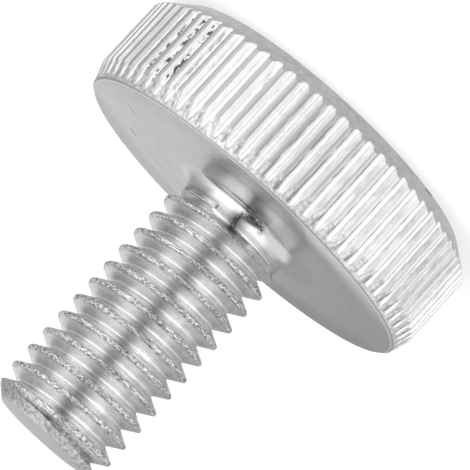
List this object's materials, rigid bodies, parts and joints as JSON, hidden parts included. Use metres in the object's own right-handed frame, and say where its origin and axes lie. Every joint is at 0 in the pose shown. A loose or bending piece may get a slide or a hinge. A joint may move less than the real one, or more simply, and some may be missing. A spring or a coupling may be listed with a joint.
{
  "type": "knurled thumb screw",
  "caption": "Thumb screw with a broad, straight-knurled head with chamfered rims, a short plain neck and a right-hand metric thread with a chamfered tip.",
  "frame": {"origin": "middle of the top face of the head, which the screw stands on", "axes": "+Z along the screw's axis, from the head to the tip of the thread"},
  "size_m": [0.0148, 0.0148, 0.0148],
  "materials": {
    "zinc_plated_steel": "bright zinc plating on turned and rolled steel, satin on the turned faces and bright on the knurl and thread"
  },
  "bodies": {
    "root": {"thumb_screw": "zinc_plated_steel"}
  },
  "joints": []
}
